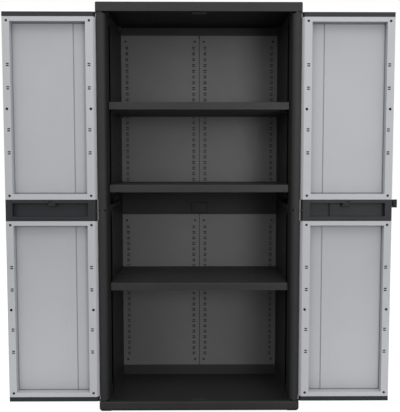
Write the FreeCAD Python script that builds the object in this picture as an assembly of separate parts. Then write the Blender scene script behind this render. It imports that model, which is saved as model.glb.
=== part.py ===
# Garden storage cabinet: two-door resin cupboard, 1.8 m tall, standing open.
# Millimetres, Z up, origin on the floor at the centre of the base's footprint, doors open at rest.
import FreeCAD
import Part
import math
import os

# Overall sizes
cabinet_width = 888.0
cabinet_height = 1805.0
cabinet_depth = 537.0
overhang = 3.0
base_height = 46.0
roof_height = 40.0
seam_height = 906.5
seam_gap = 1.0

# Base and roof
tray_wall = 4.0
floor_thickness = 5.0
ceiling_thickness = 3.0
lip_depth = 22.0
lip_round = 4.0
upright_round = 6.0
base_corner_round = 17.0
base_back_ledge = 10.7
roof_back_ledge = 8.0
plug_height = 40.0
plug_length = 120.0
plug_margin = 8.0
plug_end_inset = 40.0
plug_wall = 3.0
roof_groove_inset = 45.0
roof_groove_width = 6.0
roof_groove_depth = 1.0
play = 0.4

# Side panels and their posts
side_thickness = 47.5
panel_wall = 2.4
post_corner = 5.0
post_face = 21.0
post_round = 22.0
post_turn = 80.0
channel_setback = 50.0
channel_width = 57.0
seam_notch_height = 50.0
seam_notch_margin = 30.0
side_groove_setbacks = [130.0, 265.0, 400.0]
side_groove_width = 6.0
side_groove_depth = 0.8

# Back panels
back_thickness = 34.0
slot_columns_inset = 28.5
slot_width = 15.0
slot_height = 4.4
slot_pair_gap = 9.0
slot_pitch = 28.96
slot_end_margin = 61.3
slot_seam_margin = 120.0
back_groove_count = 3
back_groove_width = 8.0
back_groove_depth = 0.8
back_screw_inset = 22.0
back_screw_margin = 29.0
back_screw_seam_margin = 88.0
splice_reach = 100.0
tongue_reach = 6.0
tongue_thickness = 6.0

# Crossbar and connectors behind the shelves
crossbar_height = 110.0
crossbar_thickness = 12.0
crossbar_lip = 3.0
crossbar_lip_height = 6.0
clip_width = 83.0
clip_height = 51.5
clip_thickness = 6.0
clip_foot = 8.0
connector_reach = 35.0
connector_tray_reach = 20.0

# Shelves and pegs
upper_shelf_drop = 383.0
middle_shelf_rise = 111.5
lower_shelf_rise = 532.0
shelf_thickness = 33.0
shelf_setback = 34.0
shelf_skin = 3.5
shelf_round = 4.0
shelf_rib_count = 3
shelf_side_play = 0.8
shelf_back_play = 1.5
peg_length = 12.0
peg_width = 16.0
peg_height = 10.0
peg_shank_radius = 4.0
peg_shank_length = 10.0
peg_front_setback = 135.0
peg_back_margin = 60.0

# Doors
door_thickness = 38.0
door_gap_below = 2.5
door_gap_above = 2.0
door_side_gap = 2.0
door_middle_gap = 3.0
door_cap_height = 20.5
door_rail_height = 95.0
door_wall = 3.0
stile_width = 33.0
frame_rail_width = 20.0
upper_sill_width = 24.0
stile_face_wall = 4.0
hinge_chamfer_width = 11.0
hinge_chamfer_depth = 12.0
rail_side_gap = 6.0
rail_chamfer_width = 6.0
rail_chamfer_depth = 8.0
edge_round = 2.0
crease_inset = 59.0
crease_width = 40.0
crease_height = 2.5
tenon_height = 30.0

# Holes and slots in the door frames, measured from the panel's edges and its middle
corner_screw_margin = 17.0
corner_screw_inset = 16.0
corner_screw_free_inset = 19.5
round_hole_inset = 12.0
round_hole_free_inset = 16.0
frame_slot_inset = 18.0
frame_slot_free_inset = 22.0
frame_slot_rises = [90.0, 190.0]
frame_slot_width = 12.5
frame_slot_height = 5.0
frame_slot_pair_gap = 8.8
round_hole_radius = 5.8

# Middle rail of a door
rail_recess_depth = 30.0
rail_recess_side = 30.0
rail_recess_below = 20.6
rail_recess_above = 15.2
rail_groove_rise = 6.5
rail_groove_height = 2.5
rail_groove_depth = 2.0
rail_rib_inset = 121.0
rail_rib_thickness = 3.0
rail_rib_rise = 12.0
snap_inset = 174.0
snap_width = 30.0
snap_height = 14.0
snap_thickness = 12.0
snap_notch_width = 17.0
snap_notch_height = 9.0
snap_notch_depth = 6.0

# Hinges
hinge_inset = 19.0
hinge_setback = 10.0
pin_radius = 4.0
pin_clearance = 0.05
pin_depth = 18.0
arm_radius = 8.5
arm_thickness = 4.0
arm_slot_depth = 21.0
arm_slot_play = 1.0
middle_pin_reach = 16.0

# Latch, handles and stops
hasp_reach = 34.0
hasp_grip = 48.0
hasp_thickness = 4.0
hasp_gap = 1.0
hasp_height = 36.0
hasp_rise = 27.5
hood_width = 22.0
hood_wall = 3.0
staple_inset = 8.5
staple_thickness = 4.0
staple_height = 14.0
staple_reach = 16.0
staple_depth = 10.0
staple_hole_radius = 3.5
staple_slot_play = 2.0
handle_inset = 52.5
handle_width = 46.0
handle_height = 60.0
handle_plate = 4.0
handle_fin = 6.0
handle_fin_reach = 16.0
stop_width = 64.0
stop_thickness = 18.0
stop_gap = 0.6
stop_overlap = 5.0

# Screws
screw_head_radius = 5.4
screw_head_height = 2.0
screw_sink = 0.8
screw_shank_radius = 2.0
screw_length = 12.0

# Places worked out from the sizes
half_width = cabinet_width / 2
half_outer = half_width + overhang
inner_half = half_width - side_thickness
front_y = overhang - cabinet_depth / 2
rear = cabinet_depth - overhang
back_front = rear - back_thickness
lip_back = lip_depth - overhang
channel_back = channel_setback + channel_width
tongue_middle = (back_front + rear) / 2
back_hollow_start = tongue_reach + 2 * play + panel_wall
roof_bottom = cabinet_height - roof_height
ceiling = cabinet_height - ceiling_thickness
side_rear = back_front - seam_gap / 2
seam_low = seam_height - seam_gap / 2
seam_high = seam_height + seam_gap / 2
back_bottom = base_height + base_back_ledge
back_top = roof_bottom - roof_back_ledge
hinge_across = half_width - hinge_inset
door_bottom = base_height + door_gap_below
door_top = roof_bottom - door_gap_above
door_hinge_edge = half_width + door_side_gap
rail_hinge_edge = half_width + rail_side_gap
door_free_edge = 2 * hinge_across - door_middle_gap / 2
door_face_edge = door_hinge_edge + hinge_chamfer_width
lower_panel_bottom = door_bottom + door_cap_height
rail_bottom = seam_height - door_rail_height / 2
rail_top = seam_height + door_rail_height / 2
upper_panel_top = door_top - door_cap_height
closed_face = 2 * hinge_setback
slot_bottom_top = door_bottom + arm_thickness + arm_slot_play
slot_top_bottom = door_top - arm_thickness - arm_slot_play
slot_middle_low = seam_height - arm_thickness / 2 - arm_slot_play
slot_middle_high = seam_height + arm_thickness / 2 + arm_slot_play
shelf_tops = {"upper": roof_bottom - upper_shelf_drop,
              "middle": seam_height + middle_shelf_rise,
              "lower": base_height + lower_shelf_rise}
peg_setbacks = [peg_front_setback, back_front - peg_back_margin]
stile_inner = door_face_edge + stile_width
stile_outer = door_free_edge - stile_width


def point(across, back, up):
    """A point from its distance across, its distance behind the posts' front, and its height."""
    return FreeCAD.Vector(across, front_y + back, up)


def box(x0, x1, v0, v1, z0, z1):
    """A block between two values across, two behind the posts' front and two heights."""
    return Part.makeBox(x1 - x0, v1 - v0, z1 - z0, point(x0, v0, z0))


def upright(across, back, radius, z0, z1):
    """An upright cylinder."""
    return Part.makeCylinder(radius, z1 - z0, point(across, back, z0), FreeCAD.Vector(0, 0, 1))


def rearward(across, up, radius, v0, v1):
    """A cylinder that runs from front to back."""
    return Part.makeCylinder(radius, v1 - v0, point(across, v0, up), FreeCAD.Vector(0, 1, 0))


def sideways(back, up, radius, x0, x1):
    """A cylinder that runs from left to right."""
    return Part.makeCylinder(radius, x1 - x0, point(x0, back, up), FreeCAD.Vector(1, 0, 0))


def extrude_up(outline, z0, z1):
    """An upright prism over an outline of points, where a group of three is an arc."""
    edges = []
    start = outline[0]
    last = start
    for step in outline[1:]:
        if isinstance(step, list):
            middle, end = step
            arc = Part.Arc(point(*last, z0), point(*middle, z0), point(*end, z0))
            edges.append(arc.toShape())
            last = end
        else:
            edges.append(Part.makeLine(point(*last, z0), point(*step, z0)))
            last = step
    edges.append(Part.makeLine(point(*last, z0), point(*start, z0)))
    face = Part.Face(Part.Wire(edges))
    return face.extrude(FreeCAD.Vector(0, 0, z1 - z0))


def joined(pieces):
    """One solid from pieces that overlap or touch."""
    return pieces[0].multiFuse(pieces[1:]).removeSplitter()


def without(piece, cuts):
    """The piece with every cut taken out of it."""
    return piece.cut(Part.makeCompound(cuts))


def rounded(piece, radius, choose):
    """The piece with the chosen straight edges rounded."""
    edges = [edge for edge in piece.Edges if choose(edge)]
    return piece.makeFillet(radius, edges)


def runs_along(edge, direction):
    """Whether a straight edge runs along X, Y or Z."""
    ends = edge.Vertexes
    if len(ends) != 2:
        return False
    way = ends[1].Point.sub(ends[0].Point)
    length = way.Length
    return length > 0 and abs(getattr(way, direction)) > 0.999 * length


def at(edge, name, value):
    """Whether an edge lies at a value of x, y or z."""
    return abs(getattr(edge.CenterOfMass, name) - value) < 0.01


def mirrored(shape):
    """The same shape on the left-hand side."""
    return shape.mirror(FreeCAD.Vector(0, 0, 0), FreeCAD.Vector(1, 0, 0))


def both_sides(shape):
    """The shape and its mirror image, as a list."""
    return [shape, mirrored(shape)]


# Screws

def screw(across, up, face):
    """A screw sunk in a face that looks forward, with its shank running back."""
    head_start = face + screw_sink
    head = rearward(across, up, screw_head_radius, head_start, head_start + screw_head_height)
    shank = rearward(across, up, screw_shank_radius, head_start, face + screw_length)
    return joined([head, shank])


def screw_hole(across, up, face, wall):
    """The hole through a wall that a screw's head sits in."""
    return rearward(across, up, round_hole_radius, face - 1, face + wall + 0.2)


def pilot_hole(across, up, face):
    """The hole that a screw's shank fills."""
    return rearward(across, up, screw_shank_radius, face, face + screw_length)


# Base and roof

def tray_block(z0, z1):
    """The outer block of the base or the roof, with its front corners rounded."""
    block = box(-half_outer, half_outer, -overhang, rear, z0, z1)
    front = front_y - overhang
    return rounded(block, upright_round, lambda e: runs_along(e, "z") and at(e, "y", front))


def side_plugs(z0, z1):
    """The blocks that fit up or down into the side panels, right-hand side."""
    x0 = inner_half + panel_wall + play
    x1 = half_width - panel_wall - play
    first = channel_back + plug_margin
    last = side_rear - panel_wall - plug_end_inset
    front_plug = box(x0, x1, first, first + plug_length, z0, z1)
    back_plug = box(x0, x1, last - plug_length, last, z0, z1)
    return [front_plug, back_plug]


def back_plug(z0, z1):
    """The block that fits into a back panel's hollow, right-hand side."""
    x1 = half_width - seam_gap / 2 - panel_wall - play
    return box(back_hollow_start, x1, back_front + panel_wall + play, rear - panel_wall - play, z0, z1)


def plug_pocket(plug, z0, z1):
    """The hollow that leaves a plug its walls, between two heights."""
    bounds = plug.BoundBox
    corner = FreeCAD.Vector(bounds.XMin + plug_wall, bounds.YMin + plug_wall, z0)
    return Part.makeBox(bounds.XLength - 2 * plug_wall, bounds.YLength - 2 * plug_wall, z1 - z0, corner)


def back_screw_places():
    """How far across the screws of one back panel stand."""
    return [seam_gap / 2 + back_screw_inset, inner_half - back_screw_inset]


def base():
    block = tray_block(0, base_height)
    front = front_y - overhang
    block = rounded(block, base_corner_round, lambda e: runs_along(e, "y") and at(e, "z", 0))
    block = rounded(block, lip_round,
                    lambda e: runs_along(e, "x") and at(e, "z", base_height) and at(e, "y", front))
    ledge = box(-half_width, half_width, back_front, rear, base_height, back_bottom)
    pieces = [block, ledge]
    for plug in side_plugs(base_height, base_height + plug_height):
        pieces += both_sides(plug)
    pieces += both_sides(back_plug(back_bottom, back_bottom + plug_height))
    tray = joined(pieces)
    under = base_height - tray_wall
    cuts = [box(-inner_half, inner_half, lip_back, back_front, floor_thickness, base_height + 1)]
    post_back = channel_setback
    rim = box(inner_half + tray_wall, half_outer - tray_wall, post_back, rear - tray_wall, -1, under)
    cuts += both_sides(rim)
    cuts.append(box(-inner_half, inner_half, tray_wall - overhang, lip_back - tray_wall, -1, under))
    for plug in side_plugs(base_height, base_height + plug_height):
        cuts += both_sides(plug_pocket(plug, under - 1, base_height + plug_height - plug_wall))
    ledge_under = back_bottom - tray_wall
    cuts.append(box(-inner_half, inner_half, back_front + tray_wall, rear - tray_wall, -1, ledge_under))
    bore = upright(hinge_across, hinge_setback, pin_radius + pin_clearance,
                   base_height - pin_depth, base_height + 1)
    cuts += both_sides(bore)
    for across in back_screw_places():
        cuts += both_sides(pilot_hole(across, back_bottom + back_screw_margin, back_front))
    return without(tray, cuts)


def roof_groove():
    """The shallow groove that frames the roof's top."""
    low = cabinet_height - roof_groove_depth
    reach = roof_groove_inset - overhang
    outer = box(-half_width + reach, half_width - reach, reach, rear - reach, low, cabinet_height + 1)
    reach += roof_groove_width
    inner = box(-half_width + reach, half_width - reach, reach, rear - reach, low - 1, cabinet_height + 2)
    return outer.cut(inner)


def roof():
    block = tray_block(roof_bottom, cabinet_height)
    back = front_y + rear
    block = rounded(block, lip_round, lambda e: at(e, "z", cabinet_height) and not at(e, "y", back))
    ledge = box(-half_width, half_width, back_front, rear, back_top, roof_bottom)
    pieces = [block, ledge]
    for plug in side_plugs(roof_bottom - plug_height, roof_bottom):
        pieces += both_sides(plug)
    pieces += both_sides(back_plug(back_top - plug_height, back_top))
    tray = joined(pieces)
    flange = roof_bottom + tray_wall
    post_back = channel_setback
    cuts = [box(-inner_half, inner_half, lip_back, back_front, roof_bottom - 1, ceiling)]
    cuts += both_sides(box(inner_half - 1, half_outer - tray_wall, post_back, back_front, flange, ceiling))
    cuts.append(box(-inner_half, inner_half, tray_wall - overhang, lip_back + 1, flange, ceiling))
    for plug in side_plugs(roof_bottom - plug_height, roof_bottom):
        cuts += both_sides(plug_pocket(plug, roof_bottom - plug_height + plug_wall, flange + 1))
    cuts.append(box(-inner_half, inner_half, back_front - 1, rear - tray_wall, flange, ceiling))
    cuts.append(roof_groove())
    bore = upright(hinge_across, hinge_setback, pin_radius + pin_clearance,
                   roof_bottom - 1, roof_bottom + pin_depth)
    cuts += both_sides(bore)
    for across in back_screw_places():
        cuts += both_sides(pilot_hole(across, back_top - back_screw_margin, back_front))
    return without(tray, cuts)


# Side panels

def post_outline(inset, end):
    """The post's cross-section, drawn in from its surface by inset, as far back as end."""
    turn = math.radians(post_turn)
    radius = post_round - inset
    centre = half_width - post_face
    half = turn / 2
    arc_middle = (centre - radius * math.sin(half), post_round - radius * math.cos(half))
    arc_end = (centre - radius * math.sin(turn), post_round - radius * math.cos(turn))
    wall = inner_half + inset
    slant_end = arc_end[1] + (arc_end[0] - wall) * math.tan(turn)
    outline = [(half_width - inset, end)]
    corner = post_corner - inset
    if corner > 0:
        bend = corner * (1 - math.sqrt(0.5))
        outline.append((half_width - inset, post_corner))
        outline.append([(half_width - inset - bend, inset + bend), (half_width - post_corner, inset)])
    else:
        outline.append((half_width - inset, inset))
    outline.append((centre, inset))
    outline.append([arc_middle, arc_end])
    outline.append((wall, slant_end))
    return outline


def panel_outline(inset, end):
    """A side panel's cross-section: the post, then the inner wall."""
    outline = post_outline(inset, end)
    outline.append((inner_half + inset, end))
    return outline


def peg_places(low, high):
    """Setback and height of each shelf peg whose shank lies between two heights."""
    places = []
    for top in shelf_tops.values():
        middle = top - shelf_thickness - peg_height / 2
        if low < middle < high:
            places += [(setback, middle) for setback in peg_setbacks]
    return places


def arm_slot(z0, z1):
    """The slot across the post's front that a hinge arm swings in."""
    return box(inner_half - 1, half_width + 1, -1, arm_slot_depth, z0, z1)


def side_panel(z0, z1, slots):
    outer = extrude_up(panel_outline(0, side_rear), z0, z1)
    hollow = extrude_up(panel_outline(panel_wall, side_rear - panel_wall), z0 - 1, z1 + 1)
    channel = box(inner_half - 1, inner_half + panel_wall + 1, channel_setback, channel_back, z0 - 1, z1 + 1)
    cuts = [hollow, channel] + slots
    for setback in side_groove_setbacks:
        cuts.append(box(half_width - side_groove_depth, half_width + 1, setback - side_groove_width / 2,
                        setback + side_groove_width / 2, z0 - 1, z1 + 1))
    for setback, height in peg_places(z0, z1):
        cuts.append(sideways(setback, height, peg_shank_radius, inner_half - 1, inner_half + panel_wall + 0.5))
    return without(outer, cuts)


def side_lower():
    slots = [arm_slot(base_height - 1, slot_bottom_top), arm_slot(slot_middle_low, seam_high)]
    return side_panel(base_height, seam_low, slots)


def side_upper():
    slots = [arm_slot(slot_top_bottom, roof_bottom + 1), arm_slot(seam_low, slot_middle_high)]
    slots.append(box(inner_half - 1, inner_half + panel_wall + 1, channel_back - 1, side_rear - seam_notch_margin,
                     seam_low, seam_height + seam_notch_height))
    return side_panel(seam_high, roof_bottom, slots)


def side_connector():
    """The block inside both posts at the seam, with the middle hinge's bearing and a tray behind it."""
    inset = panel_wall + play
    front_end = channel_setback - inset
    outline = post_outline(inset, front_end)
    outline.append((inner_half + inset, front_end))
    block = extrude_up(outline, seam_height - connector_reach, seam_height + connector_reach)
    low = seam_height - connector_tray_reach
    high = seam_height + connector_tray_reach
    tray_x0 = inner_half + inset
    tray_x1 = half_width - inset
    tray_end = side_rear - panel_wall - plug_end_inset
    tray = box(tray_x0, tray_x1, front_end - 1, tray_end, low, high)
    piece = joined([block, tray])
    pocket = box(tray_x0 + tray_wall, tray_x1 - tray_wall, front_end + tray_wall, tray_end - tray_wall,
                 low + tray_wall, high + 1)
    slot = box(inner_half, half_width, 0, arm_slot_depth, slot_middle_low, slot_middle_high)
    bore = upright(hinge_across, hinge_setback, pin_radius + pin_clearance,
                   seam_height - middle_pin_reach - 1, seam_height + middle_pin_reach + 1)
    return without(piece, [pocket, slot, bore])


# Back panels

def back_columns():
    """How far across the two slot columns of a back panel stand."""
    return [seam_gap / 2 + slot_columns_inset, inner_half - slot_columns_inset]


def back_panel(z0, z1, end_height, way):
    """A hollow back panel. Rows and holes are counted from end_height towards the seam."""
    x0 = seam_gap / 2
    x1 = half_width - seam_gap / 2
    outer = box(x0, x1, back_front, rear, z0, z1)
    cuts = [box(x0 + panel_wall, x1 - panel_wall, back_front + panel_wall, rear - panel_wall, z0 - 1, z1 + 1)]
    rows = int((z1 - z0 - slot_end_margin - slot_seam_margin) / slot_pitch) + 1
    for row in range(rows):
        middle = end_height + way * (slot_end_margin + row * slot_pitch)
        for column in back_columns():
            for shift in (-slot_pair_gap / 2, slot_pair_gap / 2):
                low = middle + shift - slot_height / 2
                cuts.append(box(column - slot_width / 2, column + slot_width / 2, back_front - 1,
                                back_front + panel_wall + 0.2, low, low + slot_height))
    groove_step = (x1 - x0) / (back_groove_count + 1)
    for groove in range(back_groove_count):
        middle = x0 + (groove + 1) * groove_step
        cuts.append(box(middle - back_groove_width / 2, middle + back_groove_width / 2,
                        rear - back_groove_depth, rear + 1, z0 - 1, z1 + 1))
    seam_end = z1 if way > 0 else z0
    for across in back_screw_places():
        cuts.append(screw_hole(across, end_height + way * back_screw_margin, back_front, panel_wall))
        cuts.append(screw_hole(across, seam_end - way * back_screw_seam_margin, back_front, panel_wall))
    return without(outer, cuts)


def tongued(panel, z0, z1):
    """A back panel with the tongue that reaches over the middle seam."""
    half = tongue_thickness / 2
    tongue = box(-tongue_reach, seam_gap / 2 + panel_wall, tongue_middle - half, tongue_middle + half, z0, z1)
    return joined([panel, tongue])


def grooved(panel, z0, z1):
    """A back panel with the groove that takes the other one's tongue."""
    half = tongue_thickness / 2 + play
    wall = box(seam_gap / 2, tongue_reach + play + panel_wall, tongue_middle - half - panel_wall,
               tongue_middle + half + panel_wall, z0, z1)
    slot = box(-1, tongue_reach + play, tongue_middle - half, tongue_middle + half, z0 - 1, z1 + 1)
    return without(joined([panel, wall]), [slot])


def back_splice():
    """The shell inside the upper and the lower back panel that holds their seam."""
    inset = panel_wall + play
    x0 = back_hollow_start
    x1 = half_width - seam_gap / 2 - inset
    v0 = back_front + inset
    v1 = rear - inset
    block = box(x0, x1, v0, v1, seam_height - splice_reach, seam_height + splice_reach)
    pocket = box(x0 + tray_wall, x1 - tray_wall, v0 + screw_length, v1 + 1,
                 seam_height - splice_reach + tray_wall, seam_height + splice_reach - tray_wall)
    cuts = [pocket]
    for across in back_screw_places():
        for side in (-1, 1):
            height = seam_height + side * (seam_gap / 2 + back_screw_seam_margin)
            cuts.append(pilot_hole(across, height, back_front))
    return without(block, cuts)


def back_panel_screws():
    heights = [back_bottom + back_screw_margin, back_top - back_screw_margin]
    heights.append(seam_low - back_screw_seam_margin)
    heights.append(seam_high + back_screw_seam_margin)
    screws = []
    for across in back_screw_places():
        for height in heights:
            screws += both_sides(screw(across, height, back_front))
    return Part.makeCompound(screws)


def back_crossbar():
    low = seam_height - crossbar_height / 2
    high = seam_height + crossbar_height / 2
    face = back_front - crossbar_thickness
    bar = box(-inner_half + play, inner_half - play, face, back_front, low, high)
    lips = []
    for start in (low, high - crossbar_lip_height):
        lips.append(box(-inner_half + play, inner_half - play, face - crossbar_lip, face,
                        start, start + crossbar_lip_height))
    hollow = box(-inner_half + play + panel_wall, inner_half - play - panel_wall, face + panel_wall,
                 back_front + 1, low + panel_wall, high - panel_wall)
    return without(joined([bar] + lips), [hollow])


def crossbar_clip():
    face = back_front - crossbar_thickness
    low = seam_height - crossbar_height / 2 + clip_foot
    block = box(-clip_width / 2, clip_width / 2, face - clip_thickness, face, low, low + clip_height)
    block = rounded(block, edge_round, lambda e: at(e, "y", front_y + face - clip_thickness))
    hollow = box(-clip_width / 2 + panel_wall, clip_width / 2 - panel_wall, face - clip_thickness / 2,
                 face + 1, low + panel_wall, low + clip_height - panel_wall)
    return without(block, [hollow])


# Shelves

def shelf(top):
    bottom = top - shelf_thickness
    half = inner_half - shelf_side_play
    end = back_front - shelf_back_play
    block = box(-half, half, shelf_setback, end, bottom, top)
    front = front_y + shelf_setback
    block = rounded(block, shelf_round, lambda e: runs_along(e, "x") and at(e, "z", top) and at(e, "y", front))
    rib_step = (end - shelf_setback - shelf_skin) / (shelf_rib_count + 1)
    cuts = []
    for bay in range(shelf_rib_count + 1):
        v0 = shelf_setback + shelf_skin + bay * rib_step
        v1 = v0 + rib_step - shelf_skin
        cuts.append(box(-half + shelf_skin, half - shelf_skin, v0, v1, bottom - 1, top - shelf_skin))
    return without(block, cuts)


def shelf_pegs(top):
    bottom = top - shelf_thickness
    pegs = []
    for setback in peg_setbacks:
        bracket = box(inner_half - peg_length, inner_half, setback - peg_width / 2,
                      setback + peg_width / 2, bottom - peg_height, bottom)
        shank = sideways(setback, bottom - peg_height / 2, peg_shank_radius,
                         inner_half - 1, inner_half + peg_shank_length)
        pegs += both_sides(joined([bracket, shank]))
    return Part.makeCompound(pegs)


# Door stops

def base_door_stop():
    foot = box(-stop_width / 2, stop_width / 2, lip_back, lip_back + stop_thickness,
               floor_thickness, base_height)
    nose = box(-stop_width / 2, stop_width / 2, closed_face + stop_gap, lip_back + stop_thickness,
               base_height, door_bottom + stop_overlap)
    return joined([foot, nose])


def roof_door_stop():
    foot = box(-stop_width / 2, stop_width / 2, lip_back, lip_back + stop_thickness, roof_bottom, ceiling)
    nose = box(-stop_width / 2, stop_width / 2, closed_face + stop_gap, lip_back + stop_thickness,
               door_top - stop_overlap, roof_bottom)
    return joined([foot, nose])


# Door pieces, drawn for the right-hand door standing open

def door_block(hinge_edge, chamfer_width, chamfer_depth, z0, z1):
    """A slice of the door with its slanted hinge side."""
    free = door_free_edge
    bend = edge_round * (1 - math.sqrt(0.5))
    outline = [(hinge_edge, door_thickness),
               (hinge_edge, chamfer_depth),
               (hinge_edge + chamfer_width, 0),
               (free - edge_round, 0),
               [(free - bend, bend), (free, edge_round)],
               (free, door_thickness - edge_round),
               [(free - bend, door_thickness - bend), (free - edge_round, door_thickness)]]
    return extrude_up(outline, z0, z1)


def stile_hollows():
    """Where the hollows of both stiles lie: across from, across to, back from, back to."""
    back = door_thickness - stile_face_wall
    hinge_side = (door_face_edge + door_wall, stile_inner - door_wall, stile_face_wall, back)
    free_side = (stile_outer + door_wall, door_free_edge - door_wall, stile_face_wall, back)
    return [hinge_side, free_side]


def tenons(z0, z1):
    """The blocks that fit into the hollows of the stiles."""
    blocks = []
    for x0, x1, v0, v1 in stile_hollows():
        blocks.append(box(x0 + play, x1 - play, v0 + play, v1 - play, z0, z1))
    return blocks


def corner_screw_columns():
    return [door_face_edge + corner_screw_inset, door_free_edge - corner_screw_free_inset]


def corner_screw_heights():
    """The heights of the corner screws, from the lowest to the highest."""
    margin = corner_screw_margin
    return [lower_panel_bottom + margin, rail_bottom - margin, rail_top + margin, upper_panel_top - margin]


def door_panel(z0, z1, sill):
    middle = (z0 + z1) / 2
    block = door_block(door_hinge_edge, hinge_chamfer_width, hinge_chamfer_depth, z0, z1)
    floor = door_thickness - door_wall
    cuts = [box(stile_inner, stile_outer, -1, floor, z0 + sill, z1 - frame_rail_width)]
    for x0, x1, v0, v1 in stile_hollows():
        cuts.append(box(x0, x1, v0, v1, z0 - 1, z1 + 1))
    wall = stile_face_wall
    for across in corner_screw_columns():
        for height in (z0 + corner_screw_margin, z1 - corner_screw_margin):
            cuts.append(screw_hole(across, height, 0, wall))
    cuts.append(screw_hole(door_face_edge + round_hole_inset, middle, 0, wall))
    cuts.append(screw_hole(door_free_edge - round_hole_free_inset, middle, 0, wall))
    for across in (door_face_edge + frame_slot_inset, door_free_edge - frame_slot_free_inset):
        for rise in frame_slot_rises:
            for centre in (middle - rise, middle + rise):
                for shift in (-frame_slot_pair_gap / 2, frame_slot_pair_gap / 2):
                    low = centre + shift - frame_slot_height / 2
                    cuts.append(box(across - frame_slot_width / 2, across + frame_slot_width / 2, -1,
                                    wall + 0.2, low, low + frame_slot_height))
    crease = stile_inner + crease_inset
    low = z0 + sill
    high = z1 - frame_rail_width
    outside = door_thickness
    cuts.append(extrude_up([(crease, outside + 1), (crease, outside - crease_height),
                            (crease + crease_width, outside), (crease + crease_width, outside + 1)], low, high))
    panel = without(block, cuts)
    ridge = extrude_up([(crease, floor + 0.4), (crease, floor - crease_height), (crease + crease_width, floor),
                        (crease + crease_width, floor + 0.4)], low, high)
    return joined([panel, ridge])


def hinge_arm(z0, z1):
    """The flat arm from a cap or rail to the hinge axis."""
    boss = upright(hinge_across, hinge_setback, arm_radius, z0, z1)
    bar = box(hinge_across, rail_hinge_edge + rail_chamfer_width, hinge_setback - arm_radius,
              hinge_setback + arm_radius, z0, z1)
    return [boss, bar]


def screw_pilots(heights):
    return [pilot_hole(across, height, 0) for across in corner_screw_columns() for height in heights]


def door_cap(low, high, tenon_low, tenon_high, arm_low, arm_high, pocket_low, pocket_high, screw_height):
    body = door_block(rail_hinge_edge, rail_chamfer_width, rail_chamfer_depth, low, high)
    piece = joined([body] + tenons(tenon_low, tenon_high) + hinge_arm(arm_low, arm_high))
    pocket = box(stile_inner + door_wall, stile_outer - door_wall, door_wall, door_thickness - door_wall,
                 pocket_low, pocket_high)
    bore = upright(hinge_across, hinge_setback, pin_radius, arm_low - 1, arm_high + 1)
    return without(piece, [pocket, bore] + screw_pilots([screw_height]))


def top_cap():
    seat = upper_panel_top
    return door_cap(seat, door_top, seat - tenon_height, seat, door_top - arm_thickness, door_top,
                    seat - 1, door_top - tray_wall, corner_screw_heights()[3])


def bottom_cap():
    seat = lower_panel_bottom
    return door_cap(door_bottom, seat, seat, seat + tenon_height, door_bottom, door_bottom + arm_thickness,
                    door_bottom + tray_wall, seat + 1, corner_screw_heights()[0])


def middle_rail():
    body = door_block(rail_hinge_edge, rail_chamfer_width, rail_chamfer_depth, rail_bottom, rail_top)
    arm_low = seam_height - arm_thickness / 2
    arm_high = seam_height + arm_thickness / 2
    pieces = [body] + tenons(rail_bottom - tenon_height, rail_bottom) + tenons(rail_top, rail_top + tenon_height)
    rail = joined(pieces + hinge_arm(arm_low, arm_high))
    x0 = door_face_edge + rail_recess_side
    x1 = door_free_edge - rail_recess_side
    recess_top = rail_top - rail_recess_above
    cuts = [box(x0, x1, -1, rail_recess_depth, rail_bottom + rail_recess_below, recess_top)]
    cuts.append(box(x0, x1, -1, rail_groove_depth, rail_bottom + rail_groove_rise,
                    rail_bottom + rail_groove_rise + rail_groove_height))
    notch_x0 = snap_middle() - snap_width / 2 + snap_width - snap_notch_width
    cuts.append(box(notch_x0, notch_x0 + snap_notch_width, -1, snap_notch_depth, recess_top - 1,
                    recess_top + snap_notch_height))
    cuts.append(upright(hinge_across, hinge_setback, pin_radius, arm_low - 1, arm_high + 1))
    return without(rail, cuts + screw_pilots(corner_screw_heights()[1:3]))


def snap_middle():
    """How far across the middle of the snap clip stands."""
    return door_face_edge + rail_recess_side + snap_inset - snap_width / 2


def snap_clip():
    recess_top = rail_top - rail_recess_above
    x0 = snap_middle() - snap_width / 2
    setback = rail_groove_depth
    block = box(x0, x0 + snap_width, setback, setback + snap_thickness, recess_top - snap_height, recess_top)
    return rounded(block, edge_round, lambda e: runs_along(e, "x") and at(e, "z", recess_top - snap_height))


def right_rail():
    """The right-hand rail has an upright rib across its recess."""
    x0 = door_face_edge + rail_rib_inset
    rib = box(x0, x0 + rail_rib_thickness, rail_recess_depth - rail_rib_rise, rail_recess_depth + 1,
              rail_bottom + rail_recess_below - 1, rail_top - rail_recess_above + 1)
    return joined([middle_rail(), rib])


def left_rail():
    """The left-hand rail has a mortise for the staple. Drawn right-handed."""
    return without(middle_rail(), [staple_tang()])


def staple_across():
    """Where the staple stands on its own door, drawn right-handed."""
    return door_free_edge - staple_inset


def hasp_middle():
    return seam_height + hasp_rise


def staple_tang():
    x = staple_across()
    return box(x - staple_thickness / 2, x + staple_thickness / 2, door_thickness - staple_depth,
               door_thickness + 1, hasp_middle() - staple_height / 2, hasp_middle() + staple_height / 2)


def staple():
    x = staple_across()
    loop = box(x - staple_thickness / 2, x + staple_thickness / 2, door_thickness,
               door_thickness + staple_reach, hasp_middle() - staple_height / 2,
               hasp_middle() + staple_height / 2)
    tip = front_y + door_thickness + staple_reach
    loop = rounded(loop, staple_height / 3, lambda e: runs_along(e, "x") and at(e, "y", tip))
    piece = joined([loop, staple_tang()])
    hole_back = door_thickness + staple_reach - staple_height / 3 - staple_hole_radius / 2
    hole = sideways(hole_back, hasp_middle(), staple_hole_radius, x - staple_thickness, x + staple_thickness)
    return without(piece, [hole])


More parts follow.
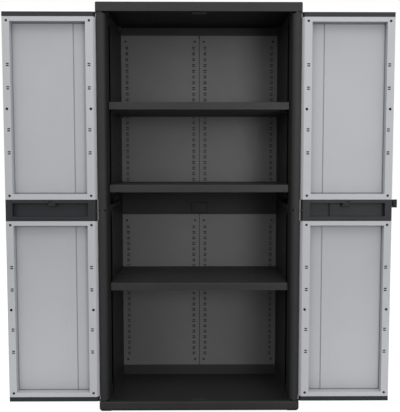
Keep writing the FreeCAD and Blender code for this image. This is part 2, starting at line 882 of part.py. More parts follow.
def hasp():
    """The tab past the right door's free edge: its slot takes the staple, under a hood open at both sides."""
    face = door_thickness
    low = hasp_middle() - hasp_height / 2
    high = hasp_middle() + hasp_height / 2
    tab = box(door_free_edge - hasp_grip, door_free_edge + hasp_reach, face + hasp_gap,
              face + hasp_gap + hasp_thickness, low, high)
    tab = rounded(tab, edge_round, lambda e: runs_along(e, "y") and e.CenterOfMass.x > door_free_edge)
    foot = box(door_free_edge - hasp_grip, door_free_edge - edge_round - 1, face, face + hasp_gap, low, high)
    closed_staple = 2 * hinge_across - staple_across()
    middle = 2 * hinge_across + closed_staple
    reach_x = staple_thickness / 2 + staple_slot_play
    reach_z = staple_height / 2 + staple_slot_play
    bottom = hasp_middle() - reach_z
    top = hasp_middle() + reach_z
    hood_floor = face + staple_reach + staple_slot_play
    hood = box(middle - hood_width / 2, middle + hood_width / 2, face + hasp_gap, hood_floor + hood_wall,
               bottom - hood_wall, top + hood_wall)
    slot = box(middle - reach_x, middle + reach_x, face - 1, hood_floor, bottom, top)
    way = box(middle - hood_width, middle + hood_width, face + hasp_gap + hasp_thickness, hood_floor, bottom, top)
    return without(joined([tab, foot, hood]), [slot, way])


def door_handle():
    """A finger plate with one upright fin, on the outer face of the middle rail."""
    x1 = door_free_edge - handle_inset
    x0 = x1 - handle_width
    low = seam_height - handle_height / 2
    high = seam_height + handle_height / 2
    face = door_thickness
    plate = box(x0, x1, face, face + handle_plate, low, high)
    fin = box(x0, x0 + handle_fin, face, face + handle_plate + handle_fin_reach, low, high)
    tip = front_y + face + handle_plate + handle_fin_reach
    fin = rounded(fin, edge_round, lambda e: runs_along(e, "z") and at(e, "y", tip))
    return joined([plate, fin])


def panel_screws():
    screws = []
    for height in corner_screw_heights():
        for across in corner_screw_columns():
            screws.append(screw(across, height, 0))
    return Part.makeCompound(screws)


def hinge_pins():
    """Three pins: down into the base, through the middle arm, and up into the roof."""
    lower = upright(hinge_across, hinge_setback, pin_radius, base_height - pin_depth + 1,
                    door_bottom + arm_thickness)
    middle = upright(hinge_across, hinge_setback, pin_radius, seam_height - middle_pin_reach,
                     seam_height + middle_pin_reach)
    upper = upright(hinge_across, hinge_setback, pin_radius, door_top - arm_thickness,
                    roof_bottom + pin_depth - 1)
    return Part.makeCompound([lower, middle, upper])


def pieces():
    """Every piece of the cabinet by name."""
    made = {}
    made["base"] = base()
    made["roof"] = roof()
    made["right_side_lower"] = side_lower()
    made["right_side_upper"] = side_upper()
    made["right_side_connector"] = side_connector()
    back_lower = back_panel(back_bottom, seam_low, back_bottom, 1)
    back_upper = back_panel(seam_high, back_top, back_top, -1)
    made["back_lower_right"] = tongued(back_lower, back_bottom, seam_low)
    made["back_upper_right"] = tongued(back_upper, seam_high, back_top)
    made["right_back_splice"] = back_splice()
    for name in list(made):
        if "right" in name:
            made[name.replace("right", "left")] = mirrored(made[name])
    made["back_lower_left"] = mirrored(grooved(back_lower, back_bottom, seam_low))
    made["back_upper_left"] = mirrored(grooved(back_upper, seam_high, back_top))
    made["back_panel_screws"] = back_panel_screws()
    made["back_crossbar"] = back_crossbar()
    made["crossbar_clip"] = crossbar_clip()
    for name, top in shelf_tops.items():
        made[name + "_shelf"] = shelf(top)
        made[name + "_shelf_pegs"] = shelf_pegs(top)
    made["base_door_stop"] = base_door_stop()
    made["roof_door_stop"] = roof_door_stop()
    door = {}
    door["lower_panel"] = door_panel(lower_panel_bottom, rail_bottom, frame_rail_width)
    door["upper_panel"] = door_panel(rail_top, upper_panel_top, upper_sill_width)
    door["top_cap"] = top_cap()
    door["bottom_cap"] = bottom_cap()
    door["panel_screws"] = panel_screws()
    door["hinge_pins"] = hinge_pins()
    door["snap_clip"] = snap_clip()
    door["handle"] = door_handle()
    for name, shape in door.items():
        made["right_" + name] = shape
        made["left_" + name] = mirrored(shape)
    made["right_middle_rail"] = right_rail()
    made["left_middle_rail"] = mirrored(left_rail())
    made["right_hasp"] = hasp()
    made["left_staple"] = mirrored(staple())
    return made


os.makedirs("parts", exist_ok=True)
for name, shape in pieces().items():
    solids = shape.Solids
    print(name, len(solids), shape.isValid(), round(sum(solid.Volume for solid in solids)))
    shape.exportStep("parts/" + name + ".step")
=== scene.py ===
import math

import bpy
import numpy as np
from mathutils import Euler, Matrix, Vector


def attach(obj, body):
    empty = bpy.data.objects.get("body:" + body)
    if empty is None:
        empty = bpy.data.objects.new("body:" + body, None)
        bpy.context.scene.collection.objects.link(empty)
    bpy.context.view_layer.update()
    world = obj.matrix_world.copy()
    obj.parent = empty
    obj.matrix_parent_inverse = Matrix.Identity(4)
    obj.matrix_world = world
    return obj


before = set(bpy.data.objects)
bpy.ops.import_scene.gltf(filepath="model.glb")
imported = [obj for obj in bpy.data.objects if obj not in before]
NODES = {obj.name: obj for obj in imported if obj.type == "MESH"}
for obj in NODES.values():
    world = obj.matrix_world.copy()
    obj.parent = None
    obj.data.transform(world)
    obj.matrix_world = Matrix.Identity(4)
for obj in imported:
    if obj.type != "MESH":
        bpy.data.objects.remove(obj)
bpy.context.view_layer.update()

bl_info = {
    "name": "Garden Storage Cabinet",
    "version": (1, 0, 0),
    "blender": (4, 5, 0),
    "location": "View3D > Sidebar > Cabinet",
    "description": "Finishes and detail for a two-door resin garden cabinet",
    "category": "Object",
}

# The front face of the posts along y, in metres; the roof and base stand 3 mm in front of it
FRONT = -0.2655

WHITE = (1.0, 1.0, 1.0)
BLACK = (0.0, 0.0, 0.0)


# Shader building: a socket that takes part in sums, and one way to make any node

class Wire:
    """An output socket that can be written in sums; each operator adds one Math node."""

    def __init__(self, finish, socket):
        self.finish = finish
        self.socket = socket

    def sum(self, operation, first, second, clamp=False):
        settings = {"operation": operation, "use_clamp": clamp}
        return self.finish.node("ShaderNodeMath", settings, {0: first, 1: second})

    def __add__(self, other):
        return self.sum("ADD", self, other)

    def __radd__(self, other):
        return self.sum("ADD", other, self)

    def __sub__(self, other):
        return self.sum("SUBTRACT", self, other)

    def __rsub__(self, other):
        return self.sum("SUBTRACT", other, self)

    def __mul__(self, other):
        return self.sum("MULTIPLY", self, other)

    def __rmul__(self, other):
        return self.sum("MULTIPLY", other, self)

    def held(self):
        """The value kept between 0 and 1."""
        return self.sum("ADD", self, 0.0, clamp=True)


class Finish:
    """A node tree of one material or of the world, with one method that makes any node."""

    def __init__(self, owner):
        owner.use_nodes = True
        self.tree = owner.node_tree
        self.tree.nodes.clear()

    def node(self, kind, settings=None, sockets=None, out=0):
        """A node of a kind: its settings first, then its sockets' values or links; gives one output."""
        made = self.tree.nodes.new(kind)
        for name, value in (settings or {}).items():
            if name == "stops":
                self.stops(made.color_ramp, value)
            else:
                setattr(made, name, value)
        for name, value in (sockets or {}).items():
            if isinstance(value, Wire):
                self.tree.links.new(value.socket, made.inputs[name])
            else:
                made.inputs[name].default_value = value
        return Wire(self, made.outputs[out]) if made.outputs else made

    def stops(self, ramp, places):
        """Sets a ramp's grey levels at their places."""
        while len(ramp.elements) < len(places):
            ramp.elements.new(1.0)
        for element, (position, level) in zip(ramp.elements, places):
            element.position = position
            element.color = (level, level, level, 1.0)

    def place(self):
        """Object coordinates, in metres in the cabinet's own frame."""
        return self.node("ShaderNodeTexCoord", out="Object")

    def stretched(self, scale):
        """Object coordinates scaled along each axis."""
        sockets = {"Vector": self.place(), "Scale": scale}
        return self.node("ShaderNodeMapping", {"vector_type": "POINT"}, sockets)

    def noise(self, scale, detail, roughness, where=None):
        """Noise of about this many bumps to a metre, over its own or given coordinates."""
        where = where or self.place()
        sockets = {"Vector": where, "Scale": scale, "Detail": detail, "Roughness": roughness}
        return self.node("ShaderNodeTexNoise", None, sockets)

    def ramp(self, value, places):
        return self.node("ShaderNodeValToRGB", {"stops": places}, {"Fac": value})

    def mixed(self, factor, first, second):
        """A colour between two, by a factor from 0 to 1; each is a wire or three numbers.

        A Mix node has a set of sockets for each kind of data: its colours are the inputs 6 and 7
        and the output 2."""
        settings = {"data_type": "RGBA", "blend_type": "MIX"}
        first, second = (tone if isinstance(tone, Wire) else opaque(tone) for tone in (first, second))
        return self.node("ShaderNodeMix", settings, {0: factor, 6: first, 7: second}, out=2)

    def axes(self):
        """Distance from the middle plane, setback from the posts' front, and height, in metres."""
        parts = self.node("ShaderNodeSeparateXYZ", None, {"Vector": self.place()})
        across, back, up = (Wire(self, socket) for socket in parts.socket.node.outputs)
        return self.node("ShaderNodeMath", {"operation": "ABSOLUTE"}, {0: across}), back - FRONT, up

    def rays(self, *names):
        """Outputs of one Light Path node, each 1 for its kind of ray."""
        outputs = self.node("ShaderNodeLightPath").socket.node.outputs
        return [Wire(self, outputs[name]) for name in names]

    def step(self, value, low, high):
        """A soft step from 0 at low to 1 at high."""
        sockets = {"Value": value, "From Min": low, "From Max": high}
        return self.node("ShaderNodeMapRange", {"interpolation_type": "SMOOTHSTEP"}, sockets)

    def within(self, value, low, high, soft=0.0004):
        """1 between low and high, 0 outside them, with a soft step just outside each."""
        return self.step(value, low - soft, low) * (1 - self.step(value, high, high + soft))

    def bump(self, height, distance):
        sockets = {"Height": height, "Distance": distance, "Strength": 1.0}
        return self.node("ShaderNodeBump", None, sockets)

    def surface(self, shader):
        self.node("ShaderNodeOutputMaterial", None, {"Surface": shader})


def opaque(colour):
    """A colour's three numbers with a full alpha, as a socket holds them."""
    return (*colour, 1.0)


def shade(colour, factor):
    """A colour that is darker or lighter by a factor."""
    return tuple(channel * factor for channel in colour)


def new_material(name):
    old = bpy.data.materials.get(name)
    if old:
        bpy.data.materials.remove(old)
    return bpy.data.materials.new(name)


# Resin and metal; heights are in metres

RESIN_IOR = 1.49
GRAIN_HEIGHT = 0.00003
WAVE_HEIGHT = 0.0004
TOOL_MARK_HEIGHT = 0.00004

# What scuffs add to the roughness at most, and what is taken off everywhere to make up for it
SCUFF_ROUGHNESS = 0.08
SCUFF_USUAL = 0.03

# How much an edge is rubbed at the least, and what that takes from its roughness and does to its tone
RUBBED_LEAST = 0.4
RUBBED_ROUGHNESS = 0.12
RUBBED_SHADE = 1.3
RUBBED_SHARE = 0.5

# What patches in the shine of metal add to its roughness
PATCH_ROUGHNESS = 0.1


def moulded_plastic(name, colour, roughness, gloss, mottle, painted_shade=None, edges=None):
    """Matt moulded resin: a fine spark-eroded grain, faint flow mottling and handling scuffs.

    Mottle is the share by which the tone varies either way. A painted-shade function may return a
    factor that darkens the colour from place to place, painting shade into it, and an edges function a
    factor that is 1 along the edges that hands rub."""
    material = new_material(name)
    finish = Finish(material)
    flow = finish.noise(scale=7.0, detail=3.0, roughness=0.55)
    specks = finish.noise(scale=420.0, detail=2.0, roughness=0.6)
    blotches = (flow * 0.7 + specks * 0.3).held()
    spread = finish.ramp(blotches, [(0.3, 0.0), (0.7, 1.0)])
    tone = finish.mixed(spread, shade(colour, 1.0 - mottle), shade(colour, 1.0 + mottle))
    # Painted shade: the colour is darkened by the painted-shade factor
    if painted_shade:
        tone = finish.mixed(painted_shade(finish), BLACK, tone)
    scuffs = finish.noise(scale=26.0, detail=4.0, roughness=0.65)
    wear = finish.ramp(scuffs, [(0.45, 0.0), (0.75, 1.0)])
    rough = wear * SCUFF_ROUGHNESS + (roughness - SCUFF_USUAL)
    if edges:
        rubbed = edges(finish) * (wear * (1.0 - RUBBED_LEAST) + RUBBED_LEAST)
        tone = finish.mixed(rubbed * RUBBED_SHARE, tone, shade(colour, RUBBED_SHADE))
        rough = rough - rubbed * RUBBED_ROUGHNESS
    coarse = finish.noise(scale=900.0, detail=2.0, roughness=0.5)
    fine = finish.noise(scale=2600.0, detail=1.0, roughness=0.5)
    waves = finish.noise(scale=14.0, detail=1.0, roughness=0.4)
    height = (coarse + fine * 0.4) * GRAIN_HEIGHT + waves * WAVE_HEIGHT
    sockets = {"Base Color": tone, "Roughness": rough, "IOR": RESIN_IOR, "Specular IOR Level": gloss,
               "Normal": finish.bump(height, 1.0)}
    finish.surface(finish.node("ShaderNodeBsdfPrincipled", None, sockets))
    return material


def metal(name, colour, roughness, metallic):
    """Turned or painted metal: fine tool marks round it and slight patches in the shine."""
    material = new_material(name)
    finish = Finish(material)
    clouds = finish.noise(scale=120.0, detail=3.0, roughness=0.6)
    patches = finish.ramp(clouds, [(0.35, 0.0), (0.7, 1.0)])
    dull = shade(colour, 0.85)
    bright = shade(colour, 1.1)
    tone = finish.mixed(patches, dull, bright)
    along = finish.stretched((1.0, 1.0, 8.0))
    marks = finish.noise(scale=600.0, detail=2.0, roughness=0.5, where=along)
    rough = patches * PATCH_ROUGHNESS + roughness
    sockets = {"Base Color": tone, "Metallic": metallic, "Roughness": rough,
               "Normal": finish.bump(marks, TOOL_MARK_HEIGHT)}
    finish.surface(finish.node("ShaderNodeBsdfPrincipled", None, sockets))
    return material


# Values that a user would change

class FinishValues(bpy.types.PropertyGroup):
    body_colour: bpy.props.FloatVectorProperty(
        name="Body", description="Black resin of the posts, walls, roof and base",
        subtype="COLOR", size=3, min=0.0, max=1.0, default=(0.0288, 0.0288, 0.0291))
    shelf_colour: bpy.props.FloatVectorProperty(
        name="Shelves", description="Black resin of the shelves",
        subtype="COLOR", size=3, min=0.0, max=1.0, default=(0.0288, 0.0288, 0.0291))
    rail_colour: bpy.props.FloatVectorProperty(
        name="Door trim", description="Black resin of the door caps, middle rails, handles and latch",
        subtype="COLOR", size=3, min=0.0, max=1.0, default=(0.0262, 0.0272, 0.0300))
    # The bars' black is darker than the body's: painted shade, for the crossbar in shadow under the
    # middle shelf
    shaded_bar_colour: bpy.props.FloatVectorProperty(
        name="Bars", description="Black resin of the crossbar, the clips and the door stops",
        subtype="COLOR", size=3, min=0.0, max=1.0, default=(0.0225, 0.0225, 0.0228))
    back_colour: bpy.props.FloatVectorProperty(
        name="Back", description="Dark grey resin of the back panels",
        subtype="COLOR", size=3, min=0.0, max=1.0, default=(0.153, 0.153, 0.155))
    door_colour: bpy.props.FloatVectorProperty(
        name="Doors", description="Light grey resin of the door panels",
        subtype="COLOR", size=3, min=0.0, max=1.0, default=(0.493, 0.504, 0.526))


class StudioValues(bpy.types.PropertyGroup):
    key_power: bpy.props.FloatProperty(
        name="Key light", description="Power of the soft light in front and to the right",
        unit="POWER", min=0.0, default=36.0)
    fill_power: bpy.props.FloatProperty(
        name="Fill light", description="Power of the soft light in front and to the left",
        unit="POWER", min=0.0, default=11.0)
    top_power: bpy.props.FloatProperty(
        name="Top light", description="Power of the wide light high above the front",
        unit="POWER", min=0.0, default=28.0)
    low_power: bpy.props.FloatProperty(
        name="Low lights", description="Power of each soft light near the foot of a door",
        unit="POWER", min=0.0, default=0.36)
    surround: bpy.props.FloatProperty(
        name="Surround", description="Strength of the even light from all sides",
        min=0.0, max=2.0, default=0.8)


# The camera, lights and floor

class CABINET_OT_studio(bpy.types.Operator):
    """Sets up the pale floor, the soft lights and the camera"""

    bl_idname = "cabinet.studio"
    bl_label = "Studio"

    def execute(self, context):
        scene = context.scene
        scene.view_settings.view_transform = "Standard"
        self.camera(scene)
        self.lights(scene)
        self.world(scene)
        self.floor()
        return {"FINISHED"}

    def camera(self, scene):
        """The view that was fitted to the photograph's straight edges."""
        data = bpy.data.cameras.new("camera")
        data.sensor_fit = "HORIZONTAL"
        data.sensor_width = 36.0
        data.lens = 57.866
        data.shift_x = -0.0166
        data.shift_y = 0.0060
        data.clip_end = 100.0
        camera = bpy.data.objects.new("camera", data)
        tilt = math.radians(90.0 - 4.0938)
        roll = math.radians(-0.0035)
        turn = math.radians(-0.5238)
        camera.location = (0.0072, -3.0822, 1.1169)
        camera.rotation_euler = Euler((tilt, roll, turn))
        scene.collection.objects.link(camera)
        scene.camera = camera

    def lights(self, scene):
        """Three large lights aimed at the cabinet's middle, and a small one near each door's foot."""
        values = scene.cabinet_studio
        middle = (0.0, 0.0, 0.9)
        self.area(scene, "key_light", values.key_power, place=(1.5, -4.0, 1.4), aim=middle, size=1.2)
        self.area(scene, "fill_light", values.fill_power, place=(-2.4, -4.0, 2.2), aim=middle, size=1.2)
        self.area(scene, "top_light", values.top_power, place=(0.0, -2.6, 4.4), aim=middle, size=2.0)
        for side, sign in (("left", -1.0), ("right", 1.0)):
            place = (sign * 0.9, -1.1, 0.1)
            foot = (sign * 0.72, FRONT, 0.06)
            self.area(scene, side + "_low_light", values.low_power, place, foot, size=0.4, spread=80.0)

    def area(self, scene, name, power, place, aim, size, spread=180.0):
        """A round light at a place, turned towards its aim; its spread is in degrees."""
        data = bpy.data.lights.new(name, "AREA")
        data.spread = math.radians(spread)
        data.shape = "DISK"
        data.size = size
        data.energy = power
        light = bpy.data.objects.new(name, data)
        light.location = place
        light.rotation_euler = (Vector(aim) - Vector(place)).to_track_quat("-Z", "Y").to_euler()
        scene.collection.objects.link(light)

    def world(self, scene):
        """White to the camera, in mirrors and through glass, and dimmer where it lights a surface."""
        world = bpy.data.worlds.new("studio")
        finish = Finish(world)
        shown, mirrored, through = finish.rays("Is Camera Ray", "Is Glossy Ray", "Is Transmission Ray")
        direct = (shown + mirrored + through).held()
        strength = direct + (1 - direct) * scene.cabinet_studio.surround
        sky = finish.node("ShaderNodeBackground", None, {"Color": opaque(WHITE), "Strength": strength})
        finish.node("ShaderNodeOutputWorld", None, {"Surface": sky})
        scene.world = world

    def floor(self):
        """A plain square just under the cabinet: nearly white to the camera, dull grey in other rays."""
        reach = 6.0
        drop = 0.0005
        grey = (0.2, 0.2, 0.2)
        seen_white = 0.92
        span = np.linspace(-reach, reach, 3)
        across, back = np.meshgrid(span, span, indexing="ij")
        floor = grid_piece("floor", across, back, np.full_like(across, -drop))
        material = new_material("pale_floor")
        finish = Finish(material)
        shown = finish.rays("Is Camera Ray")[0]
        matt = finish.node("ShaderNodeBsdfDiffuse", None, {"Color": opaque(grey)})
        glowing = {"Color": opaque(WHITE), "Strength": shown * seen_white}
        glow = finish.node("ShaderNodeEmission", None, glowing)
        finish.surface(finish.node("ShaderNodeAddShader", None, {0: matt, 1: glow}))
        floor.data.materials.append(material)


# Meshes from whole arrays

def cells(index):
    """The four corners of every cell of a grid of point numbers."""
    corners = [index[:-1, :-1], index[1:, :-1], index[1:, 1:], index[:-1, 1:]]
    return np.stack(corners, axis=-1).reshape(-1, 4)


def mesh_piece(name, points, faces):
    """An object at the origin with the points and faces of two arrays."""
    mesh = bpy.data.meshes.new(name)
    mesh.from_pydata(points.tolist(), [], faces.tolist())
    mesh.update()
    piece = bpy.data.objects.new(name, mesh)
    bpy.context.scene.collection.objects.link(piece)
    return piece


def grid_piece(name, x, y, z):
    """An open surface over two parameters, with one face for each cell of the grid."""
    points = np.stack([x, y, z], axis=-1).reshape(-1, 3)
    return mesh_piece(name, points, cells(np.arange(x.size).reshape(x.shape)))


def slab_piece(name, x, front, back, z, turned):
    """A closed slab: a front grid and a back grid over the same x and z, joined round their four edges.

    The faces are wound for a front that looks along -Y, or the other way where turned is true."""
    points = np.concatenate([np.stack([x, front, z], axis=-1).reshape(-1, 3),
                             np.stack([x, back, z], axis=-1).reshape(-1, 3)])
    near = np.arange(x.size).reshape(x.shape)
    far = near + x.size
    rings = [cells(near), cells(far)[:, ::-1]]
    for edge_near, edge_far, flip in ((near[0], far[0], False), (near[-1], far[-1], True),
                                      (near[:, 0], far[:, 0], True), (near[:, -1], far[:, -1], False)):
        strip = cells(np.stack([edge_far, edge_near], axis=0))
        rings.append(strip[:, ::-1] if flip else strip)
    faces = np.concatenate(rings)
    return mesh_piece(name, points, faces[:, ::-1] if turned else faces)


def smooth(values, low, high):
    """A soft step from 0 at low to 1 at high."""
    part = np.clip((values - low) / (high - low), 0.0, 1.0)
    return part * part * (3.0 - 2.0 * part)


def lines(low, high, step, *places):
    """Grid lines from low to high, about a step apart, with the given places among them."""
    even = np.linspace(low, high, max(2, int(round((high - low) / step)) + 1))
    return np.unique(np.concatenate([even, *[np.atleast_1d(place) for place in places]]).round(6))


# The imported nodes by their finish

GREY_PANELS = ["left_lower_panel", "left_upper_panel", "right_lower_panel", "right_upper_panel"]
BACK_PIECES = ["back_lower_left", "back_lower_right", "back_upper_left", "back_upper_right",
               "left_back_splice", "right_back_splice"]
SHELVES = ["upper_shelf", "middle_shelf", "lower_shelf"]
DOOR_TRIM = [side + piece for side in ("left", "right")
             for piece in ("_top_cap", "_middle_rail", "_bottom_cap", "_handle")]
BARS = ["back_crossbar", "crossbar_clip", "left_snap_clip", "right_snap_clip",
        "roof_door_stop", "base_door_stop"]
LATCH = ["left_staple", "right_hasp"]
# The latch is the door trim's resin darkened by this factor, as painted shade of its set-back block
LATCH_PAINTED_SHADE = 0.45
SIDES = ["left_side_lower", "left_side_upper", "right_side_lower", "right_side_upper"]
SCREWS = ["back_panel_screws", "left_panel_screws", "right_panel_screws"]
SCREW_COLOUR = (0.005, 0.005, 0.0052)
PINS = ["left_hinge_pins", "right_hinge_pins"]
PIN_COLOUR = (0.5, 0.5, 0.5)
LISTED = GREY_PANELS + BACK_PIECES + SHELVES + DOOR_TRIM + BARS + LATCH + SIDES + SCREWS + PINS
BODY = [name for name in NODES if name not in LISTED]


# Where painted shade darkens the finish, or where it is rubbed. Each pair is where a band or a soft
# step begins and ends, in metres: across from the middle plane, back from the posts' front, or up from
# the ground. A loss is the share of the tone that painted shade takes away. The sides are painted a
# little darker all over than the body, as painted shade.

POST_BACK = (0.048, 0.052)
POST_TURN = (0.398, 0.425)
POST_TURN_SHADE_LOSS = 0.45
POST_CORNER = (0.430, 0.442)
POST_CORNER_SHADE_LOSS = 0.35
POST_EDGE = (0.4425, 0.4450)
POST_EDGE_BACK = (0.003, 0.006)
POST_EDGE_SOFT = 0.001

INNER_FACES = (0.405, 0.408)
CHANNEL = (0.0495, 0.1085)
CHANNEL_SHADE_LOSS = 0.85
INNER_WALL = (0.108, 0.112)
INNER_WALL_SHADE_LOSS = 0.38
SIDE_SHADED_TONE = 0.90

BACK_HOLLOW = (0.5003, 0.5325)
BACK_HOLLOW_SHADE_LOSS = 0.93
BACK_INNER_FACE = (0.51, 0.52)
SEAM = (0.0012, 0.0030)
SEAM_SHADE_LOSS = 0.7
SEAM_TOP = (0.0030, 0.0050)
SEAM_TOP_UP = (1.7380, 1.7440)
SEAM_TOP_SHADE_LOSS = 0.8

HINGE_STILE = (0.4595, 0.4875)
FREE_STILE = (0.8180, 0.8460)
STILE_HOLLOW = (0.0006, 0.0372)
STILE_HOLLOW_SHADE_LOSS = 0.96

DOOR_FREE_EDGE = (0.8462, 0.8480)
DOOR_HINGE_EDGE = (0.4520, 0.4545)


def side_painted_shade(finish):
    """Painted shade round the post's outer corner and inner turn, in the channel behind it and on the
    wall.
    """
    across, back, up = finish.axes()
    inner = 1 - finish.step(across, *INNER_FACES)
    post = 1 - finish.step(back, *POST_BACK)
    turned = 1 - finish.step(across, *POST_TURN)
    corner = finish.step(across, *POST_CORNER)
    channel = finish.within(back, *CHANNEL) * inner
    wall = finish.step(back, *INNER_WALL) * inner
    post_tone = 1 - post * (turned * POST_TURN_SHADE_LOSS + corner * POST_CORNER_SHADE_LOSS)
    return post_tone * (1 - channel * CHANNEL_SHADE_LOSS) * (SIDE_SHADED_TONE - wall * INNER_WALL_SHADE_LOSS)


def back_painted_shade(finish):
    """Painted shade inside the hollow panels, which shows through their slots, along the middle seam and
    at its top.
    """
    across, back, up = finish.axes()
    inner = 1 - finish.step(back, *BACK_INNER_FACE)
    hollow = finish.within(back, *BACK_HOLLOW)
    seam = (1 - finish.step(across, *SEAM)) * inner
    top = (1 - finish.step(across, *SEAM_TOP)) * finish.step(up, *SEAM_TOP_UP) * inner
    return (1 - hollow * BACK_HOLLOW_SHADE_LOSS) * (1 - seam * SEAM_SHADE_LOSS) * (1 - top * SEAM_TOP_SHADE_LOSS)


def panel_painted_shade(finish):
    """Painted shade inside the hollow stiles, which shows through their slots and holes."""
    across, back, up = finish.axes()
    stiles = finish.within(across, *HINGE_STILE) + finish.within(across, *FREE_STILE)
    return 1 - stiles * finish.within(back, *STILE_HOLLOW) * STILE_HOLLOW_SHADE_LOSS


def door_edges(finish):
    """The upright edges of a door, where hands pull it and where it meets the post."""
    across, back, up = finish.axes()
    return finish.step(across, *DOOR_FREE_EDGE) + (1 - finish.step(across, *DOOR_HINGE_EDGE))


def post_edges(finish):
    """The outer front corner of a post."""
    across, back, up = finish.axes()
    return finish.within(across, *POST_EDGE, POST_EDGE_SOFT) * (1 - finish.step(back, *POST_EDGE_BACK))


def paint(names, material):
    """Gives the named nodes one material."""
    for name in names:
        slots = NODES[name].data.materials
        slots.clear()
        slots.append(material)


class CABINET_OT_body_finish(bpy.types.Operator):
    """Gives the body, shelves and bars their black resin and the back its dark grey"""

    bl_idname = "cabinet.body_finish"
    bl_label = "Body finish"

    def execute(self, context):
        values = context.scene.cabinet_finish
        body = moulded_plastic("body_resin", values.body_colour, roughness=0.55, gloss=0.25, mottle=0.07)
        paint(BODY, body)
        # The sides: the body's resin with painted shade on the posts, in the channels and on the inner
        # walls
        side = moulded_plastic("side_resin", values.body_colour, roughness=0.55, gloss=0.25, mottle=0.07,
                               painted_shade=side_painted_shade, edges=post_edges)
        paint(SIDES, side)
        shelf = moulded_plastic("shelf_resin", values.shelf_colour, roughness=0.52, gloss=0.25,
                                mottle=0.07)
        paint(SHELVES, shelf)
        # Painted shade: the bars take their darker black
        bar = moulded_plastic("shaded_bar_resin", values.shaded_bar_colour, roughness=0.55, gloss=0.2, mottle=0.07)
        paint(BARS, bar)
        back = moulded_plastic("back_resin", values.back_colour, roughness=0.44, gloss=0.45, mottle=0.05,
                               painted_shade=back_painted_shade)
        paint(BACK_PIECES, back)
        return {"FINISHED"}


class CABINET_OT_door_finish(bpy.types.Operator):
    """Gives the doors their light grey resin, black trim and latch"""

    bl_idname = "cabinet.door_finish"
    bl_label = "Door finish"

    def execute(self, context):
        values = context.scene.cabinet_finish
        grey = moulded_plastic("door_resin", values.door_colour, roughness=0.5, gloss=0.25, mottle=0.02,
                               painted_shade=panel_painted_shade, edges=door_edges)
        paint(GREY_PANELS, grey)
        trim = moulded_plastic("trim_resin", values.rail_colour, roughness=0.52, gloss=0.25, mottle=0.07,
                               edges=door_edges)
        paint(DOOR_TRIM, trim)
        # Painted shade: the latch takes a darker copy of the trim's colour
        shaded_latch_colour = shade(values.rail_colour, LATCH_PAINTED_SHADE)
        latch = moulded_plastic("shaded_latch_resin", shaded_latch_colour, roughness=0.52, gloss=0.2, mottle=0.07)
        paint(LATCH, latch)
        return {"FINISHED"}


class CABINET_OT_metal_finish(bpy.types.Operator):
    """Gives the screws and hinge pins their metal"""

    bl_idname = "cabinet.metal_finish"
    bl_label = "Screws and pins"

    def execute(self, context):
        paint(SCREWS, metal("black_screw", SCREW_COLOUR, roughness=0.5, metallic=0.0))
        paint(PINS, metal("turned_steel", PIN_COLOUR, roughness=0.3, metallic=1.0))
        return {"FINISHED"}


# The linings on the floors of the door panels' recesses, in metres; they leave 0.2 mm all round.
# Their back is measured from the posts' front.
# A groove runs along each edge, and its three lines are the start, middle and end of its sloping
# wall, from that edge inwards. The end line is one more line of the grid, and the steps are the
# usual spacing of its lines.

LINING_HINGE_SIDE = 0.4902
LINING_FREE_SIDE = 0.8153
LINING_BACK = 0.03495
LINING_THICKNESS = 0.0024
# The lining takes the door's colour darkened by this factor, as painted shade of the recess floor
LINING_PAINTED_SHADE = 0.95
LINING_STEP_ACROSS = 0.014
LINING_STEP_UP = 0.024
SIDE_GROOVE = np.array([0.0014, 0.0024, 0.0034])
END_GROOVE = np.array([0.0030, 0.0044, 0.0056])
END_LINE = 0.012
GROOVE_SHARE = 0.98

# The crease is a step out that slopes back. The lines of the groove beside it are its near wall,
# its middle, its far wall at the step and one line past the step.
CREASE = 0.5490
CREASE_HEIGHT = 0.0025
CREASE_SLOPE = 0.0400
CREASE_GROOVE = CREASE + np.array([-0.0042, -0.0036, -0.0020, -0.0004, 0.0, 0.0006])
CREASE_GROOVE_DEPTH = 0.0019

# Shares of the tone lost to painted shade in the grooves and near the edges, and how far each reaches
GROOVE_SHADE_LOSS = 0.5
CREASE_GROOVE_SHADE_LOSS = 0.25
LINING_SIDE_SHADE_LOSS = 0.10
SIDE_REACH = 0.020
TOP_REACH = 0.11
FOOT_REACH = 0.03

LINING_LEVELS = {
    "lower": {"low": 0.0892, "high": 0.8388, "top_shade_loss": 0.11, "foot_shade_loss": 0.32},
    "upper": {"low": 0.9782, "high": 1.7223, "top_shade_loss": 0.16, "foot_shade_loss": 0.20},
}


def lining_painted_shade(finish):
    """The factor kept on the lining's points: painted shade, darker in its grooves and towards its
    edges.
    """
    settings = {"attribute_type": "GEOMETRY", "attribute_name": "shade"}
    return finish.node("ShaderNodeAttribute", settings, out="Fac")


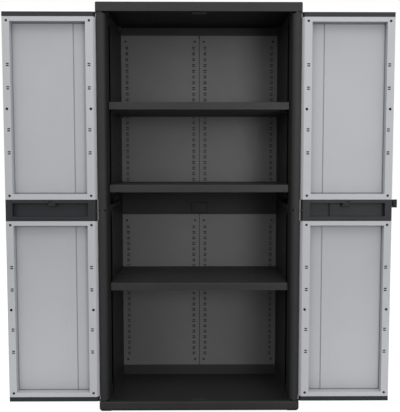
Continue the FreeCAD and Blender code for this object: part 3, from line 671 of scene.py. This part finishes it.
def recess_lining(name, sign, low, high, top_shade_loss, foot_shade_loss):
    """A thin lining with a shallow groove round its edge and a long crease near the hinge side.

    Its thickness is less by the depth of the groove: soft steps of the distance from the four edges.
    At the crease it steps out and slopes back, as the panel behind it does, with a groove beside the
    step. Painted shade darkens its tone in its grooves, and near its top, its foot and its sides,
    falling off exponentially from each."""
    across = lines(LINING_HINGE_SIDE, LINING_FREE_SIDE, LINING_STEP_ACROSS,
                   LINING_HINGE_SIDE + SIDE_GROOVE, LINING_FREE_SIDE - SIDE_GROOVE,
                   CREASE_GROOVE, CREASE + CREASE_SLOPE)
    up = lines(low, high, LINING_STEP_UP, low + END_GROOVE, low + END_LINE,
               high - END_GROOVE, high - END_LINE)
    x, z = np.meshgrid(across, up, indexing="ij")
    sides = np.minimum(x - LINING_HINGE_SIDE, LINING_FREE_SIDE - x)
    ends = np.minimum(z - low, high - z)
    joint = np.maximum(1.0 - smooth(sides, SIDE_GROOVE[0], SIDE_GROOVE[-1]),
                       1.0 - smooth(ends, END_GROOVE[0], END_GROOVE[-1]))
    beside = smooth(x, *CREASE_GROOVE[:2]) * (1.0 - smooth(x, *CREASE_GROOVE[3:5]))
    slope = CREASE_HEIGHT * np.clip(1.0 - (x - CREASE) / CREASE_SLOPE, 0.0, 1.0)
    ridge = np.where(x > CREASE_GROOVE[3:5].mean(), slope, 0.0)
    back = FRONT + LINING_BACK - ridge
    front = back - LINING_THICKNESS * (1.0 - GROOVE_SHARE * joint) + CREASE_GROOVE_DEPTH * beside
    lining = slab_piece(name, sign * x, front, back, z, sign < 0.0)
    # Painted shade: darker towards the top, the foot and the sides and in the grooves, kept on the
    # points as the attribute shade
    near_ends = top_shade_loss * np.exp(-(high - z) / TOP_REACH) + foot_shade_loss * np.exp(-(z - low) / FOOT_REACH)
    near_sides = LINING_SIDE_SHADE_LOSS * np.exp(-sides / SIDE_REACH)
    in_grooves = (1.0 - GROOVE_SHADE_LOSS * joint) * (1.0 - CREASE_GROOVE_SHADE_LOSS * beside)
    kept = ((1.0 - near_ends - near_sides) * in_grooves).ravel()
    attribute = lining.data.attributes.new("shade", "FLOAT", "POINT")
    attribute.data.foreach_set("value", np.concatenate([kept, kept]))
    return lining


class CABINET_OT_recess_linings(bpy.types.Operator):
    """Makes the thin lining on the floor of each door panel's recess"""

    bl_idname = "cabinet.recess_linings"
    bl_label = "Recess linings"

    def execute(self, context):
        colour = shade(context.scene.cabinet_finish.door_colour, LINING_PAINTED_SHADE)
        material = moulded_plastic("lining_resin", colour, roughness=0.5, gloss=0.25, mottle=0.02,
                                   painted_shade=lining_painted_shade)
        for side, sign in (("left", -1.0), ("right", 1.0)):
            for level, sizes in LINING_LEVELS.items():
                piece = recess_lining("%s_%s_lining" % (side, level), sign, **sizes)
                piece.data.materials.append(material)
                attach(piece, side + "_door")
        return {"FINISHED"}


class CABINET_PT_panel(bpy.types.Panel):
    bl_idname = "CABINET_PT_panel"
    bl_label = "Cabinet"
    bl_space_type = "VIEW_3D"
    bl_region_type = "UI"
    bl_category = "Cabinet"

    def draw(self, context):
        layout = self.layout
        for group in (context.scene.cabinet_finish, context.scene.cabinet_studio):
            box = layout.box()
            for name in group.bl_rna.properties.keys():
                if name not in ("rna_type", "name"):
                    box.prop(group, name)
        for step in STEPS:
            layout.operator(step.bl_idname)


STEPS = [CABINET_OT_studio, CABINET_OT_body_finish, CABINET_OT_door_finish, CABINET_OT_metal_finish,
         CABINET_OT_recess_linings]
CLASSES = [FinishValues, StudioValues, *STEPS, CABINET_PT_panel]


def register():
    for item in CLASSES:
        bpy.utils.register_class(item)
    bpy.types.Scene.cabinet_finish = bpy.props.PointerProperty(type=FinishValues)
    bpy.types.Scene.cabinet_studio = bpy.props.PointerProperty(type=StudioValues)


def unregister():
    del bpy.types.Scene.cabinet_studio
    del bpy.types.Scene.cabinet_finish
    for item in reversed(CLASSES):
        bpy.utils.unregister_class(item)


def main():
    register()
    for step in STEPS:
        group, name = step.bl_idname.split(".")
        getattr(getattr(bpy.ops, group), name)()


if __name__ == "__main__":
    main()
